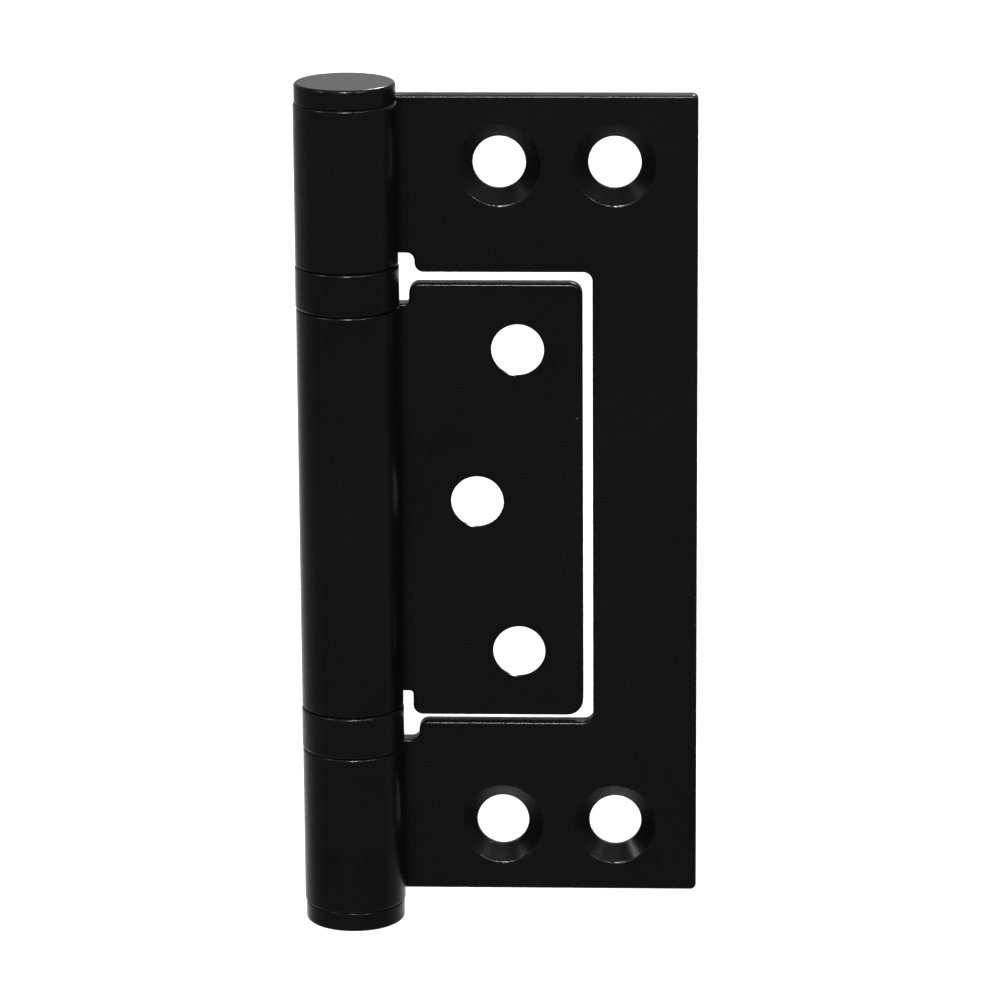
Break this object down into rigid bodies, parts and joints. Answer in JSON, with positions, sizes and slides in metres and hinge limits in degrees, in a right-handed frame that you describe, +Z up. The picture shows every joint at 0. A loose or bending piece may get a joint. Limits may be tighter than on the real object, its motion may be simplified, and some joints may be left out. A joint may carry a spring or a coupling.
{
  "type": "door hinge",
  "caption": "Flush ball-bearing door hinge: a leaf for the door folds into the window of the leaf for the frame, both on one capped barrel, with countersunk screw holes.",
  "frame": {"origin": "on the pin's axis, half way up the outer leaf", "axes": "+Z up along the pin, +X from the pin towards the free edge of the outer leaf, +Y out of the flat back of the leaves, away from the barrel"},
  "size_m": [0.0483, 0.0126, 0.1048],
  "materials": {
    "leaf_coat": "satin black powder coat on sheet steel",
    "cap_coat": "satin black powder coat on turned steel",
    "bearing_coat": "satin black coat on a drawn steel sleeve",
    "pin_steel": "drawn steel, lightly oiled",
    "race_steel": "ground bearing steel",
    "ball_steel": "polished bearing steel",
    "cage_brass": "stamped brass"
  },
  "bodies": {
    "frame_side": {"outer_leaf": "leaf_coat", "hinge_pin": "pin_steel", "top_cap": "cap_coat", "bottom_cap": "cap_coat", "upper_bearing_shell": "bearing_coat", "upper_fixed_race": "race_steel", "lower_bearing_shell": "bearing_coat", "lower_fixed_race": "race_steel"},
    "door_side": {"inner_leaf": "leaf_coat", "upper_moving_race": "race_steel", "lower_moving_race": "race_steel"},
    "upper_ball_ring": {"upper_ball_cage": "cage_brass", "upper_ball_01": "ball_steel", "upper_ball_02": "ball_steel", "upper_ball_03": "ball_steel", "upper_ball_04": "ball_steel", "upper_ball_05": "ball_steel", "upper_ball_06": "ball_steel", "upper_ball_07": "ball_steel", "upper_ball_08": "ball_steel", "upper_ball_09": "ball_steel", "upper_ball_10": "ball_steel"},
    "lower_ball_ring": {"lower_ball_cage": "cage_brass", "lower_ball_01": "ball_steel", "lower_ball_02": "ball_steel", "lower_ball_03": "ball_steel", "lower_ball_04": "ball_steel", "lower_ball_05": "ball_steel", "lower_ball_06": "ball_steel", "lower_ball_07": "ball_steel", "lower_ball_08": "ball_steel", "lower_ball_09": "ball_steel", "lower_ball_10": "ball_steel"}
  },
  "joints": [
    {"name": "door_swing", "type": "hinge", "parent": "frame_side", "child": "door_side", "pos_m": [0, 0, 0], "axis": [0, 0, -1], "range_deg": [0, 180]},
    {"name": "upper_ball_turn", "type": "hinge", "parent": "frame_side", "child": "upper_ball_ring", "pos_m": [0, 0, 0], "axis": [0, 0, -1], "range_deg": [0, 90]},
    {"name": "lower_ball_turn", "type": "hinge", "parent": "frame_side", "child": "lower_ball_ring", "pos_m": [0, 0, 0], "axis": [0, 0, -1], "range_deg": [0, 90]}
  ],
  "couplings": [
    {"joint": "upper_ball_turn", "follows": "door_swing", "ratio": 0.5},
    {"joint": "lower_ball_turn", "follows": "door_swing", "ratio": 0.5}
  ]
}
